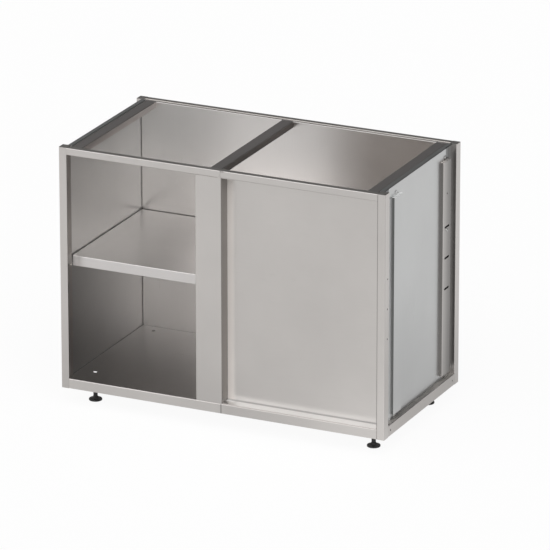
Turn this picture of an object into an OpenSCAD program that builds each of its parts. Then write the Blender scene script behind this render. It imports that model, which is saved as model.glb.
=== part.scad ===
// Blind corner base cabinet in folded sheet steel: an open bay on the left half, a recessed
// blank panel on the right half, an open top with cross members, and four levelling feet.
// Lengths are in millimetres. Z = 0 is the floor, the origin is under the middle of the cabinet.

/* [Body] */
// Overall width of the body
body_w = 1200; // [1000:10:1400]
// Overall depth of the body
body_d = 620; // [560:5:700]
// Height of the body above the feet
body_h = 860; // [780:5:900]
// Sheet thickness of posts, rails and cross members
frame_t = 1.5; // [1.2:0.1:2]
// Sheet thickness of panels, floor and shelf
panel_t = 1.2; // [0.8:0.1:1.5]
// Outer radius of the folds
bend_r = 2.5; // [2.2:0.1:3]

/* [Frame] */
// Width of the front face of a corner post
post_w = 28; // [24:1:34]
// Depth of a corner post along the side of the cabinet
post_d = 33; // [28:1:38]
// Height of the top rails
top_rail_h = 25; // [22:1:30]
// Depth of the top face of the top rails
top_rail_d = 20; // [16:1:26]
// Height of the bottom rails at front and back
low_rail_h = 35; // [30:1:45]
// Depth of the bottom rails at front and back
low_rail_d = 30; // [24:1:32]
// Height of the bottom rails at the sides
side_rail_h = 40; // [38:1:50]
// Width of the centre stile
stile_w = 95; // [80:1:120]
// Gap between the two lengths of a front rail
joint_gap = 0.8; // [0.4:0.1:1.5]
// How far the centre stile reaches past the middle of the cabinet
stile_over = 2; // [0:0.5:4]
// Depth of the left return of the centre stile
stile_return = 33; // [24:1:38]
// Width of the left and right cross members
side_member_w = 40; // [34:1:50]
// Width of the middle cross member
member_w = 43; // [34:1:50]
// Distance from the middle of the cabinet to the middle cross member's right edge
member_shift = 5; // [0:1:30]
// Depth of the bearer's rear seat on the bottom rear rail, in front of the back panel
rear_seat_d = 27; // [20:1:40]

/* [Panels] */
// Distance from the outer side plane to the outside of a side panel
side_recess = 17; // [14:1:22]
// Width of the fold along the top of a side panel
side_fold_w = 19; // [16:1:24]
// Depth of the blank panel behind the front face
blank_recess = 45; // [40:1:52]
// Gap along the sides of the floor and the back panel
edge_gap = 0.8; // [0.4:0.1:1]
// Distance from the back plane to the back of the back panel
back_recess = 33; // [28:1:38]

/* [Shelf] */
// Height of the shelf's top above the underside of the body
shelf_z = 463; // [400:1:520]
// Height of the shelf's front lip
shelf_lip = 37; // [25:1:45]
// Height of the shelf's rear lip
shelf_rear_lip = 20; // [12:1:24]
// Width of the hem under the shelf's front lip
shelf_hem = 12; // [8:1:20]
// Gap between the blank panel and the shelf's front lip
shelf_front_gap = 3.8; // [2:0.2:8]
// Gap between the shelf's rear lip and the back panel
shelf_back_gap = 3.8; // [2:0.2:8]
// Gap between the shelf's end and the side panel
shelf_end_gap = 4.5; // [3:0.1:8]
// Gap between the runner's top and the shelf
seat_gap = 0.3; // [0.2:0.05:0.5]
// Leg of the angle that carries the shelf
runner_leg = 25; // [20:1:32]

/* [Hanger rails] */
// Width of a hanger rail
hanger_w = 65; // [63:1:72]
// How far a hanger rail stands out of the side panel
hanger_h = 10.5; // [8:0.5:12]
// Height of a hanger rail's lower end above the underside of the body
hanger_z0 = 60; // [50:1:80]
// Distance from a hanger rail's upper end to the top of the body
hanger_top = 38; // [30:1:60]
// Distance from the front face to the front hanger rail
hanger_front = 90; // [84:1:100]
// Distance from a hanger rail's upper end to its round hole
hanger_hole = 117; // [60:1:130]
// Distance from the rear hanger rail to the rear post
hanger_back = 30; // [20:1:40]
// Height of the lowest slot above the underside of the body
slot_z0 = 368; // [300:1:380]
// Spacing of the slots
slot_pitch = 110; // [90:5:130]
// Number of slots in each rail
slot_n = 3; // [1:1:4]
// Length of a slot
slot_l = 38; // [24:1:42]
// Height of a slot
slot_h = 7; // [5:0.5:9]
// Length of the riveted tab at each end of a hanger rail
tab_l = 14; // [12:1:18]

/* [Feet] */
// Height of the feet under the body
foot_h = 65; // [55:1:90]
// Distance from a foot's axis to the side of the body
foot_inset_x = 80; // [70:1:110]
// Distance from a front foot's axis to the front of the body
foot_front_y = 95; // [75:1:110]
// Distance from a rear foot's axis to the back of the body
foot_rear_y = 76; // [75:1:110]
// Radius of a foot's base
pad_r = 23; // [18:0.5:28]
// Height of the rim of a foot's base
pad_rim_h = 6; // [5:0.5:8]
// Height of a foot's base with its neck
pad_h = 15; // [13:0.5:20]
// Travel of a foot up and down from its middle height
foot_travel = 12; // [6:1:14]
// Gap that the sleeve keeps to the bracket at the end of the travel
foot_end_gap = 2; // [1:0.5:4]
// Radius of the sleeve round a foot's stem
sleeve_r = 7.5; // [7:0.1:10]
// Height of the hexagon at the sleeve's upper end
collar_h = 8; // [6:0.5:10]
// Radius across the corners of the hexagon
collar_r = 9.5; // [9:0.1:11]
// Radius of the threaded stem
stud_r = 5; // [4:0.5:6]
// Radial clearance of the stem in its bush
thread_gap = 0.05; // [0.02:0.01:0.1]
// Side of a foot's bracket plate
bracket_w = 114; // [90:1:120]
// Thickness of a foot's bracket plate
bracket_t = 3; // [2:0.5:4]
// Radius of the bush on a foot's bracket
bush_r = 10; // [8:0.5:12]
// Height of the bush on a foot's bracket
bush_h = 12; // [8:0.5:14]

/* [Holes and fasteners] */
// Radius of the holes that join two cabinets
join_r = 3; // [2.5:0.1:4]
// Distance from the front face to the joining holes of a corner post
join_y = 22; // [18:1:25]
// Height of the lowest joining hole of a corner post
join_z0 = 352; // [300:1:400]
// Spacing of the joining holes of a corner post
join_pitch = 105; // [80:5:120]
// Number of joining holes of a corner post
join_n = 3; // [1:1:4]
// Distance from a corner post to the joining hole of a side bottom rail
join_end = 19; // [12:1:30]
// Radius of the holes over the feet in the floor
access_r = 7; // [6:0.5:9]
// Radius of an M6 screw's shank
screw_r = 3; // [2.5:0.1:3.2]
// Radius of an M6 screw's head
screw_head_r = 5.5; // [5:0.1:6]
// Height of an M6 screw's head
screw_head_h = 3; // [2:0.1:3.5]
// Radius across the corners of an M6 nut
nut_r = 5.8; // [5.4:0.1:6]
// Height of an M6 nut
nut_h = 5; // [4:0.1:5.5]
// Radial clearance of a screw in its hole
screw_gap = 0.2; // [0.1:0.05:0.4]
// Radius of a rivet's shank
rivet_r = 2; // [1.6:0.1:2.4]
// Radius of a rivet's head
rivet_head_r = 3.8; // [3.2:0.1:4.5]
// Height of a rivet's head
rivet_head_h = 1.2; // [0.8:0.1:1.6]
// Length of the fold reliefs at the joint of the top rails
relief_l = 13; // [8:1:16]
// Height of the fold reliefs
relief_h = 2; // [1.5:0.5:3]

/* [Hidden] */
$fn = 48;

steel = [0.72, 0.71, 0.70];
sheet = [0.76, 0.76, 0.75];
dark_plastic = [0.12, 0.12, 0.12];
zinc = [0.80, 0.80, 0.79];

mid_x = body_w / 2;
joint_x0 = mid_x - joint_gap / 2;
joint_x1 = mid_x + joint_gap / 2;
// planes that several pieces share
wall_out = side_recess;
wall_in = side_recess + panel_t;
back_out = body_d - back_recess;
back_in = back_out - panel_t;
rail_top = body_h - frame_t;
top_rail_z0 = body_h - top_rail_h;
member_z0 = top_rail_z0 + frame_t;
member_h = rail_top - member_z0;
floor_z0 = low_rail_h;
floor_z1 = low_rail_h + panel_t;
stile_x1 = mid_x + stile_over;
stile_x0 = stile_x1 - stile_w;
fold_in = wall_out + side_fold_w;
rear_rail_d = back_recess + rear_seat_d;
// least gap between pieces that slide past each other
slide_gap = 1;
// shelf and its runners
shelf_x0 = wall_in + shelf_end_gap;
shelf_y0 = blank_recess + panel_t + shelf_front_gap;
shelf_y1 = back_in - shelf_back_gap;
runner_z1 = shelf_z - panel_t - seat_gap;
runner_z0 = runner_z1 - runner_leg;
runner_y0 = shelf_y0 + bend_r + slide_gap;
runner_y1 = shelf_y1 - bend_r - slide_gap;
runner_screw_z = runner_z0 + runner_leg / 2;
// hanger rails
hanger_z1 = body_h - hanger_top;
hanger_x0 = wall_out - hanger_h;
hanger_front_mid = hanger_front + hanger_w / 2;
hanger_rear_mid = back_out - hanger_back - hanger_w / 2;
tab_z = [hanger_z0 - tab_l / 2, hanger_z1 + tab_l / 2];
hanger_mid = [hanger_front_mid, hanger_rear_mid];
lock_drop = slot_h / 2 + screw_head_r + 4;
lock_z = slot_z0 + (slot_n - 1) * slot_pitch - lock_drop;
// feet: left, right and front, rear axes
foot_x = [foot_inset_x, body_w - foot_inset_x];
foot_y = [foot_front_y, body_d - foot_rear_y];
bracket_z0 = frame_t;
bracket_z1 = bracket_z0 + bracket_t;
sleeve_z0 = pad_h + seat_gap;
sleeve_z1 = foot_h + bracket_z0 - foot_travel - foot_end_gap;
stud_z1 = foot_h + floor_z0 - foot_travel - foot_end_gap;

// Moves the body's corner frame so that the origin lies on the floor under the middle.
module stand() translate([-body_w / 2, -body_d / 2, foot_h]) children();

// Mirrors a left piece to the right side of the body.
module right_side() translate([body_w, 0, 0]) mirror([1, 0, 0]) children();

// Draws a left piece on both sides.
module both_sides() {
    children();
    right_side() children();
}

// Mirrors a front piece to the back of the body.
module rear_side() translate([0, body_d, 0]) mirror([0, 1, 0]) children();

module block(x0, x1, y0, y1, z0, z1) translate([x0, y0, z0]) cube([x1 - x0, y1 - y0, z1 - z0]);

module hole_x(x0, x1, y, z, r) translate([x0, y, z]) rotate([0, 90, 0]) cylinder(h = x1 - x0, r = r);

module hole_z(z0, z1, x, y, r) translate([x, y, z0]) cylinder(h = z1 - z0, r = r);

// Rectangle with round corners, from exact squares and circles.
module soft_rect(w, h, r) {
    translate([r, 0]) square([w - 2 * r, h]);
    translate([0, r]) square([w, h - 2 * r]);
    for (x = [r, w - r], y = [r, h - r]) translate([x, y]) circle(r = r);
}

// Inner radius of a fold in a sheet of thickness t.
function fold_r(t) = max(bend_r - t, 0.4);

// Channel section: web along X at Y = 0, two returns of the given depths, open towards +Y.
module channel(w, d_left, d_right, t) {
    far = 2 * max(d_left, d_right) + 4 * bend_r;
    r_in = fold_r(t);
    intersection() {
        difference() {
            soft_rect(w, far, bend_r);
            translate([t, t]) soft_rect(w - 2 * t, far, r_in);
        }
        union() {
            square([w / 2, d_left]);
            translate([w / 2, 0]) square([w / 2, d_right]);
        }
    }
}

// Angle section: web along X at Y = 0 and one return at X = 0, with a round outer fold.
module angle(w, d, t) {
    intersection() {
        channel(2 * w, d, d, t);
        square([w, d]);
    }
}

// Extrudes a section, drawn in the plane across X, along X. Section X becomes Z, Y stays Y.
module along_x(x0, x1, z0) {
    translate([x1, 0, z0]) rotate([0, -90, 0]) linear_extrude(x1 - x0) children();
}

// Extrudes a section, drawn in the plane across Y, along Y. Section Y becomes Z.
module along_y(y0, y1) translate([0, y1, 0]) rotate([90, 0, 0]) linear_extrude(y1 - y0) children();

// Left corner post: front face, outer flange, inner return and a plate at both ends.
module front_post() {
    difference() {
        union() {
            linear_extrude(body_h) channel(post_w, post_d, post_d, frame_t);
            for (z = [0, rail_top])
                block(frame_t, post_w - frame_t, frame_t, post_d, z, z + frame_t);
        }
        for (i = [0 : join_n - 1])
            hole_x(-1, frame_t + 1, join_y, join_z0 + i * join_pitch, join_r);
        // the side panel stands between the flange and the return
        block(wall_out, wall_in, post_d / 2, post_d + 1, -1, frame_t + 1);
        block(wall_out, wall_in, post_d / 2, post_d + 1, rail_top - 1, body_h + 1);
    }
}

// Left rear post: outer flange, back face and a flange in front, open towards the middle.
module rear_post() {
    translate([0, body_d, 0]) rotate([0, 0, -90]) linear_extrude(body_h)
        channel(body_d - back_out, post_w, post_w, frame_t);
    for (z = [0, rail_top])
        block(frame_t, post_w, back_out + frame_t, body_d - frame_t, z, z + frame_t);
}

// Stile between the open bay and the blank panel, on the floor and under the top rails.
module centre_stile() {
    translate([stile_x0, 0, floor_z1]) linear_extrude(top_rail_z0 - floor_z1)
        channel(stile_w, stile_return, blank_recess, frame_t);
}

// Rail along the front between two X values; its web faces the front.
module front_rail(x0, x1, z0, h, d) along_x(x0, x1, z0) channel(h, d, d, frame_t);

module top_rail(x0, x1) front_rail(x0, x1, top_rail_z0, top_rail_h, top_rail_d);

// Left length of the top front rail, with the relief of its lower fold at the joint.
module top_rail_front_left() {
    difference() {
        top_rail(post_w, joint_x0);
        block(mid_x - relief_l, mid_x + 1, -1, frame_t + 1, top_rail_z0 - 1, top_rail_z0 + relief_h);
    }
}

// Right length of the top front rail, with the relief of its upper fold at the joint.
module top_rail_front_right() {
    difference() {
        top_rail(joint_x1, body_w - post_w);
        block(mid_x - 1, mid_x + relief_l, -1, frame_t + 1, body_h - relief_h - frame_t,
            body_h - frame_t);
    }
}

module bottom_rail_front(x0, x1) front_rail(x0, x1, 0, low_rail_h, low_rail_d);

module top_rail_rear() rear_side() top_rail(post_w, body_w - post_w);

module bottom_rail_rear() {
    rear_side() front_rail(post_w, body_w - post_w, 0, low_rail_h, rear_rail_d);
}

// Left bottom rail: outer web, and a ledge out of which the side panel stands.
module side_bottom_rail() {
    difference() {
        translate([0, back_out, 0]) rotate([0, 0, -90]) along_x(0, back_out - post_d, 0)
            channel(side_rail_h, wall_out, wall_out, frame_t);
        for (y = [post_d + join_end, back_out - join_end])
            hole_x(-1, frame_t + 1, y, side_rail_h / 2, join_r);
    }
}

// Cross member: a channel open below, from the front rail's fold to the back panel.
module cross_member(x0, w) {
    translate([x0, 0, 0]) along_y(frame_t + fold_r(frame_t), back_in)
        translate([0, rail_top]) mirror([0, 1]) channel(w, member_h, member_h, frame_t);
}

// Left side panel with its fold along the top and the lip down from it.
module side_panel() {
    difference() {
        union() {
            block(wall_out, wall_in, post_d / 2, back_out, 0, body_h - bend_r);
            along_y(post_d, back_in) translate([wall_out, body_h]) mirror([0, 1])
                channel(side_fold_w, 2 * bend_r, 2 * bend_r, panel_t);
            block(wall_out, wall_in, post_d / 2, post_d, body_h - 2 * bend_r, body_h);
        }
        for (y = hanger_mid) hole_x(0, post_w, y, runner_screw_z, screw_r + screw_gap);
        for (y = hanger_mid, z = tab_z) hole_x(0, post_w, y, z, rivet_r);
    }
}

// Back panel with the fold that closes its top, under the rear rail's upper flange.
module back_panel() {
    block(wall_in + edge_gap, body_w - wall_in - edge_gap, back_in, back_out,
        floor_z1, rail_top - bend_r);
    along_x(post_w, body_w - post_w, 0) translate([rail_top, back_in]) mirror([1, 0])
        back_fold();
}

// Section of the back panel's top fold: down along the panel and back over the gap.
module back_fold() {
    depth = back_recess + panel_t - top_rail_d + frame_t;
    intersection() {
        difference() {
            soft_rect(4 * bend_r, 2 * depth, bend_r);
            translate([panel_t, panel_t]) soft_rect(4 * bend_r, 2 * depth, bend_r - panel_t);
        }
        square([2 * bend_r, depth]);
    }
}

// Blank panel: a tray whose sides line the right opening.
module blank_panel() {
    x0 = stile_x1;
    x1 = body_w - post_w;
    z0 = floor_z1;
    z1 = top_rail_z0;
    depth = blank_recess + panel_t;
    difference() {
        translate([x0, depth, z0]) rotate([90, 0, 0]) linear_extrude(depth - frame_t)
            soft_rect(x1 - x0, z1 - z0, bend_r);
        translate([x0 + panel_t, blank_recess, z0 + panel_t]) rotate([90, 0, 0])
            linear_extrude(blank_recess)
            soft_rect(x1 - x0 - 2 * panel_t, z1 - z0 - 2 * panel_t, bend_r - panel_t);
    }
}

// Floor on the bottom rails, with a hole over each foot.
module floor_panel() {
    difference() {
        block(wall_in + edge_gap, body_w - wall_in - edge_gap, 0, back_out, floor_z0, floor_z1);
        // the corner posts pass through the front corners
        for (x = [wall_in - 1, body_w - post_w])
            block(x, x + post_w - wall_in + 1, 0, post_d, floor_z0 - 1, floor_z1 + 1);
        for (x = foot_x, y = foot_y) hole_z(floor_z0 - 1, floor_z1 + 1, x, y, access_r);
    }
}

// Bearer under the middle of the floor, between the flanges of the bottom rails.
module floor_bearer() {
    translate([mid_x - member_w / 2, 0, 0]) along_y(low_rail_d, body_d - rear_rail_d)
        translate([0, floor_z0]) mirror([0, 1])
        channel(member_w, floor_z0, floor_z0, frame_t);
}

// Left hanger rail on the outside of the side panel, round the given middle.
// Both its ends are closed, and a riveted tab lies on the panel beyond each end.
module hanger_rail(mid) {
    y0 = mid - hanger_w / 2;
    difference() {
        union() {
            translate([hanger_x0, y0 + hanger_w, hanger_z0]) rotate([0, 0, -90])
                linear_extrude(hanger_z1 - hanger_z0)
                channel(hanger_w, hanger_h, hanger_h, frame_t);
            for (end = [[hanger_z0, hanger_z0 - tab_l], [hanger_z1 - frame_t, hanger_z1 - frame_t]]) {
                block(hanger_x0 + frame_t, wall_out, y0 + frame_t / 2, y0 + hanger_w - frame_t / 2,
                    end[0], end[0] + frame_t);
                block(wall_out - frame_t, wall_out, mid - tab_l / 2, mid + tab_l / 2,
                    end[1], end[1] + tab_l + frame_t);
            }
        }
        for (z = tab_z) hole_x(0, wall_out + 1, mid, z, rivet_r);
    }
}

// Left rear hanger rail: the slots, a round hole above them, and the lock screw's hole.
module hanger_rail_slotted() {
    x0 = hanger_x0 - 1;
    x1 = hanger_x0 + frame_t + 1;
    difference() {
        hanger_rail(hanger_rear_mid);
        for (i = [0 : slot_n - 1]) slot(x0, x1, hanger_rear_mid, slot_z0 + i * slot_pitch);
        hole_x(x0, x1, hanger_rear_mid, hanger_z1 - hanger_hole, join_r);
        hole_x(x0, x1, hanger_rear_mid, lock_z, screw_r);
    }
}

// Slot with round ends, from x0 to x1.
module slot(x0, x1, y, z) {
    reach = (slot_l - slot_h) / 2;
    block(x0, x1, y - reach, y + reach, z - slot_h / 2, z + slot_h / 2);
    for (s = [-1, 1]) hole_x(x0, x1, y + s * reach, z, slot_h / 2);
}

// Left shelf runner: an angle on the inside of the side panel.
module shelf_runner() {
    difference() {
        translate([wall_in, 0, runner_z1]) along_y(runner_y0, runner_y1) mirror([0, 1])
            angle(runner_leg, runner_leg, frame_t);
        for (y = hanger_mid)
            hole_x(wall_in - 1, wall_in + frame_t + 1, y, runner_screw_z, screw_r + screw_gap);
    }
}

// Screws along X from inside the bay into the hollow of the hanger rails, on both sides.
module runner_screws() {
    head_x = wall_in + frame_t;
    both_sides() for (y = hanger_mid) {
        hole_x(wall_out - nut_h - slide_gap, head_x, y, runner_screw_z, screw_r);
        hole_x(head_x, head_x + screw_head_h, y, runner_screw_z, screw_head_r);
    }
}

// Hexagon nuts on those screws, against the outside of the side panels.
module runner_nuts() {
    both_sides() for (y = hanger_mid)
        translate([wall_out - nut_h, y, runner_screw_z]) rotate([0, 90, 0]) difference() {
            cylinder(h = nut_h, r = nut_r, $fn = 6);
            translate([0, 0, -1]) cylinder(h = nut_h + 2, r = screw_r);
        }
}

// Blind rivets through the hanger rails' tabs and the side panels.
module rail_rivets() {
    tab_x = wall_out - frame_t;
    both_sides() for (y = hanger_mid, z = tab_z) {
        hole_x(tab_x, wall_in, y, z, rivet_r);
        hole_x(tab_x - rivet_head_h, tab_x, y, z, rivet_head_r);
    }
}

// Screws in the faces of the rear hanger rails, under the upper slot.
module lock_screws() {
    both_sides() {
        hole_x(hanger_x0 - screw_head_h, hanger_x0, hanger_rear_mid, lock_z, screw_head_r);
        hole_x(hanger_x0, hanger_x0 + nut_h, hanger_rear_mid, lock_z, screw_r);
    }
}

// Bracket of a left foot: a plate on the bottom rails' flanges, with the bush at foot_at.
module foot_bracket(foot_at) {
    y0 = frame_t + fold_r(frame_t);
    difference() {
        union() {
            block(wall_in, foot_inset_x + bracket_w / 2, y0, foot_at + bracket_w / 2,
                bracket_z0, bracket_z1);
            hole_z(bracket_z1, bracket_z1 + bush_h, foot_inset_x, foot_at, bush_r);
        }
        block(0, post_w, 0, post_d, 0, body_h);
        hole_z(-1, body_h, foot_inset_x, foot_at, stud_r + thread_gap);
    }
}

// Shelf: a sheet with a front lip, a rear lip and a hem that stops short of the runners.
module shelf() {
    x1 = body_w - shelf_x0;
    hem_x0 = wall_in + runner_leg + 2 * slide_gap;
    difference() {
        along_x(shelf_x0, x1, 0) translate([shelf_z, shelf_y0]) mirror([1, 0]) shelf_section();
        for (x = [shelf_x0, body_w - hem_x0])
            block(x - 1, x + hem_x0 - shelf_x0, shelf_y0 + bend_r, shelf_y0 + shelf_hem + 1,
                shelf_z - shelf_lip - 1, shelf_z - shelf_lip / 2);
    }
}

// Section of the shelf: the first axis goes down from the top, the second one to the back.
module shelf_section() {
    depth = shelf_y1 - shelf_y0;
    r_in = bend_r - panel_t;
    lip_in = shelf_lip - 2 * panel_t;
    difference() {
        union() {
            intersection() {
                soft_rect(shelf_lip, 2 * shelf_hem, bend_r);
                square([shelf_lip, shelf_hem]);
            }
            intersection() {
                soft_rect(2 * shelf_rear_lip, depth, bend_r);
                square([shelf_rear_lip, depth]);
            }
        }
        translate([panel_t, panel_t]) soft_rect(lip_in, depth - 2 * panel_t, r_in);
        translate([panel_t + lip_in / 2, shelf_hem])
            square([shelf_lip, depth - shelf_hem - panel_t]);
    }
}

// Base of a foot at the origin: a round disc, a neck and a socket for the stem.
module foot_base() {
    edge = 2;
    rim = pad_r - edge;
    neck = sleeve_r + 3;
    rotate_extrude() difference() {
        union() {
            square([rim, pad_rim_h]);
            square([pad_r, pad_rim_h - edge]);
            intersection() {
                translate([rim, pad_rim_h - edge]) circle(r = edge);
                square([pad_r, pad_rim_h]);
            }
            polygon([[0, 0], [rim, 0], [rim, pad_rim_h], [neck, pad_h - 4], [sleeve_r, pad_h],
                [0, pad_h]]);
        }
        translate([0, pad_rim_h]) square([stud_r + thread_gap, pad_h]);
    }
}

// Stem of a foot at the origin, from the socket to its free end over the bracket.
module foot_stem() {
    translate([0, 0, pad_rim_h]) cylinder(h = stud_z1 - pad_rim_h, r = stud_r);
}

// Sleeve fixed on a foot's stem, with a hexagon for the spanner.
module foot_sleeve() {
    difference() {
        union() {
            translate([0, 0, sleeve_z0]) cylinder(h = sleeve_z1 - sleeve_z0, r = sleeve_r);
            translate([0, 0, sleeve_z1 - collar_h]) cylinder(h = collar_h, r = collar_r, $fn = 6);
        }
        translate([0, 0, sleeve_z0 - 1]) cylinder(h = foot_h, r = stud_r);
    }
}

// Puts a foot's piece on the floor, under its bracket.
module at_foot(i, j) translate([foot_x[i] - body_w / 2, foot_y[j] - body_d / 2, 0]) children();

color(steel) stand() front_post();  // front_post_left
color(steel) stand() right_side() front_post();  // front_post_right
color(steel) stand() rear_post();  // rear_post_left
color(steel) stand() right_side() rear_post();  // rear_post_right
color(steel) stand() centre_stile();
color(steel) stand() top_rail_front_left();
color(steel) stand() top_rail_front_right();
color(steel) stand() bottom_rail_front(post_w, joint_x0);  // bottom_rail_front_left
color(steel) stand() bottom_rail_front(joint_x1, body_w - post_w);  // bottom_rail_front_right
color(steel) stand() top_rail_rear();
color(steel) stand() bottom_rail_rear();
color(steel) stand() side_bottom_rail();  // side_bottom_rail_left
color(steel) stand() right_side() side_bottom_rail();  // side_bottom_rail_right
color(steel) stand() cross_member(fold_in, side_member_w);  // cross_member_left
color(steel) stand() cross_member(mid_x - member_shift - member_w, member_w);  // cross_member_middle
color(steel) stand() right_side() cross_member(fold_in, side_member_w);  // cross_member_right
color(sheet) stand() side_panel();  // side_panel_left
color(sheet) stand() right_side() side_panel();  // side_panel_right
color(sheet) stand() back_panel();
color(sheet) stand() blank_panel();
color(sheet) stand() floor_panel();
color(steel) stand() floor_bearer();
color(steel) stand() hanger_rail(hanger_front_mid);  // hanger_rail_front_left
color(steel) stand() hanger_rail_slotted();  // hanger_rail_rear_left
color(steel) stand() right_side() hanger_rail(hanger_front_mid);  // hanger_rail_front_right
color(steel) stand() right_side() hanger_rail_slotted();  // hanger_rail_rear_right
color(steel) stand() shelf_runner();  // shelf_runner_left
color(steel) stand() right_side() shelf_runner();  // shelf_runner_right
color(zinc) stand() runner_screws();
color(zinc) stand() runner_nuts();
color(zinc) stand() rail_rivets();
color(zinc) stand() lock_screws();
color(zinc) stand() foot_bracket(foot_front_y);  // foot_bracket_front_left
color(zinc) stand() right_side() foot_bracket(foot_front_y);  // foot_bracket_front_right
color(zinc) stand() rear_side() foot_bracket(foot_rear_y);  // foot_bracket_rear_left
color(zinc) stand() right_side() rear_side() foot_bracket(foot_rear_y);  // foot_bracket_rear_right
color(sheet) stand() shelf();
color(dark_plastic) at_foot(0, 0) foot_base();  // foot_base_front_left
color(dark_plastic) at_foot(1, 0) foot_base();  // foot_base_front_right
color(dark_plastic) at_foot(0, 1) foot_base();  // foot_base_rear_left
color(dark_plastic) at_foot(1, 1) foot_base();  // foot_base_rear_right
color(zinc) at_foot(0, 0) foot_stem();  // foot_stem_front_left
color(zinc) at_foot(1, 0) foot_stem();  // foot_stem_front_right
color(zinc) at_foot(0, 1) foot_stem();  // foot_stem_rear_left
color(zinc) at_foot(1, 1) foot_stem();  // foot_stem_rear_right
color(dark_plastic) at_foot(0, 0) foot_sleeve();  // foot_sleeve_front_left
color(dark_plastic) at_foot(1, 0) foot_sleeve();  // foot_sleeve_front_right
color(dark_plastic) at_foot(0, 1) foot_sleeve();  // foot_sleeve_rear_left
color(dark_plastic) at_foot(1, 1) foot_sleeve();  // foot_sleeve_rear_right
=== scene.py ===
"""Corner base cabinet in brushed sheet steel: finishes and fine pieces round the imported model."""
import math

import bmesh
import bpy
from bpy.props import FloatProperty, FloatVectorProperty, IntProperty, PointerProperty
from mathutils import Matrix, Vector


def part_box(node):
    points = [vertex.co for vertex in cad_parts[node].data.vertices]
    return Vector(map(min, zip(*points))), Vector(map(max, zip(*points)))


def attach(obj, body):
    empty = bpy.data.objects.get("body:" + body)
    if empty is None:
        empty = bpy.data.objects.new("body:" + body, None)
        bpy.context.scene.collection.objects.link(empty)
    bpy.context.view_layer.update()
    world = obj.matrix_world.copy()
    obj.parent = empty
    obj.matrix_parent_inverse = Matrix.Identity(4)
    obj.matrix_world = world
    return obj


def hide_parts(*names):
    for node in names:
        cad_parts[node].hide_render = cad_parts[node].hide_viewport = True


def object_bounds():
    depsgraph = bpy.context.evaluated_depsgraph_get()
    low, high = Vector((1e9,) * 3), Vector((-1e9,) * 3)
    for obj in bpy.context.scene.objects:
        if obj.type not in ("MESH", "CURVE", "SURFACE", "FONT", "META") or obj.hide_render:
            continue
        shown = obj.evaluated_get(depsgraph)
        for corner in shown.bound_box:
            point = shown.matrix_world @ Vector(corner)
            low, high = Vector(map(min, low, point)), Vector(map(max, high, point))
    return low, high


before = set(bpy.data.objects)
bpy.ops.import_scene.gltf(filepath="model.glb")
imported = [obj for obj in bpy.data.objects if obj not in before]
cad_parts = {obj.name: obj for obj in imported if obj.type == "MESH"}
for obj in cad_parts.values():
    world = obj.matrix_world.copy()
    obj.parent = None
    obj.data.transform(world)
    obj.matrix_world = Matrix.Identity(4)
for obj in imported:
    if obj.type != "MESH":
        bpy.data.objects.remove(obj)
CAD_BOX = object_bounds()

bl_info = {
    "name": "Corner Base Cabinet",
    "version": (1, 0, 0),
    "blender": (4, 5, 0),
    "location": "View3D > Sidebar > Cabinet",
    "description": "Finishes, fasteners, feet and studio of a sheet steel corner base cabinet",
    "category": "Object",
}

MM = 0.001
FAR = 50.0
OPEN = (None, None)
# planes that part a sheet's outer face from its inner one, and a face from the edge beside it
WITHIN = 1.3 * MM
SKIN = 0.3 * MM
THIN_RIM = 0.2 * MM
MERGE = 1e-6
FOOT_ENDS = ("front_left", "front_right", "rear_left", "rear_right")


def colour(name, of, default):
    """A colour property."""
    return FloatVectorProperty(name=name, description="Colour of " + of, subtype="COLOR", size=3,
                               min=0, max=1, default=default)


def share(name, description, default):
    """A property from 0 to 1."""
    return FloatProperty(name=name, description=description, min=0, max=1, default=default)


def length(name, description, low, high, default):
    """A property that is a length."""
    return FloatProperty(name=name, description=description, unit="LENGTH", min=low, max=high,
                         default=default)


def box_strength(name, of, default):
    """A property for the strength of a soft box."""
    return FloatProperty(name=name, description="Strength of the %s" % of, min=0, max=10,
                         default=default)


class CabinetFinish(bpy.types.PropertyGroup):
    """Colours and surface values of the finishes."""

    frame_colour: colour("Frame Colour", "the posts and rails", (0.645, 0.617, 0.594))
    front_panel_colour: colour("Blank Panel Colour", "the blank panel", (0.643, 0.615, 0.592))
    side_panel_colour: colour("Side Panel Colour", "the two side panels", (0.622, 0.627, 0.624))
    back_panel_colour: colour("Back Panel Colour", "the back panel", (0.690, 0.664, 0.645))
    shelf_colour: colour("Shelf Colour", "the shelf", (0.72, 0.694, 0.680))
    floor_colour: colour("Floor Colour", "the floor sheet", (0.580, 0.553, 0.541))
    # painted shade: the runners are near black so that the narrow gap beside the shelf's ends shows dark
    runner_painted_shade_colour: colour("Runner Shade Colour", "the shelf's runners", (0.170, 0.165, 0.160))
    member_colour: colour("Cross Member Colour", "the cross members", (0.565, 0.530, 0.518))
    fastener_colour: colour("Fastener Colour", "screws, nuts, rivets and stems", (0.66, 0.66, 0.65))
    foot_colour: colour("Foot Colour", "the plastic of the feet", (0.018, 0.018, 0.018))
    steel_roughness: FloatProperty(
        name="Steel Roughness", description="Mean roughness of the brushed sheet",
        min=0.05, max=1, default=0.30)
    brush_depth: share("Brush Depth", "Strength of the bump of the brushed lines", 0.035)
    # painted shade along the sheets' edges where they meet other sheets, standing for the shade in the
    # gaps between them and in the joint of the bottom rails
    painted_gap_shade: share("Painted Gap Shade", "Tone of the sheets' cut edges, where they meet other sheets", 0.30)
    # painted shade on the narrow walls that stand back in recesses: the blank panel's side walls, the
    # hanger rails' front walls and, less dark, the rear posts' reveals
    painted_recess_shade: share("Painted Recess Shade", "Tone of the narrow walls that stand back from the faces", 0.42)
    # painted shade, not a finish of the insides: it darkens the insides of the folded posts and top
    # rails and the walls of the posts' holes, where shade falls
    painted_hollow_shade: share("Painted Hollow Shade", "Tone of the unbrushed insides of the folded profiles", 0.30)
    brush_lines: FloatProperty(
        name="Brushed Lines", description="Brushed lines per metre across the grain",
        min=100, max=4000, default=1400)


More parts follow.
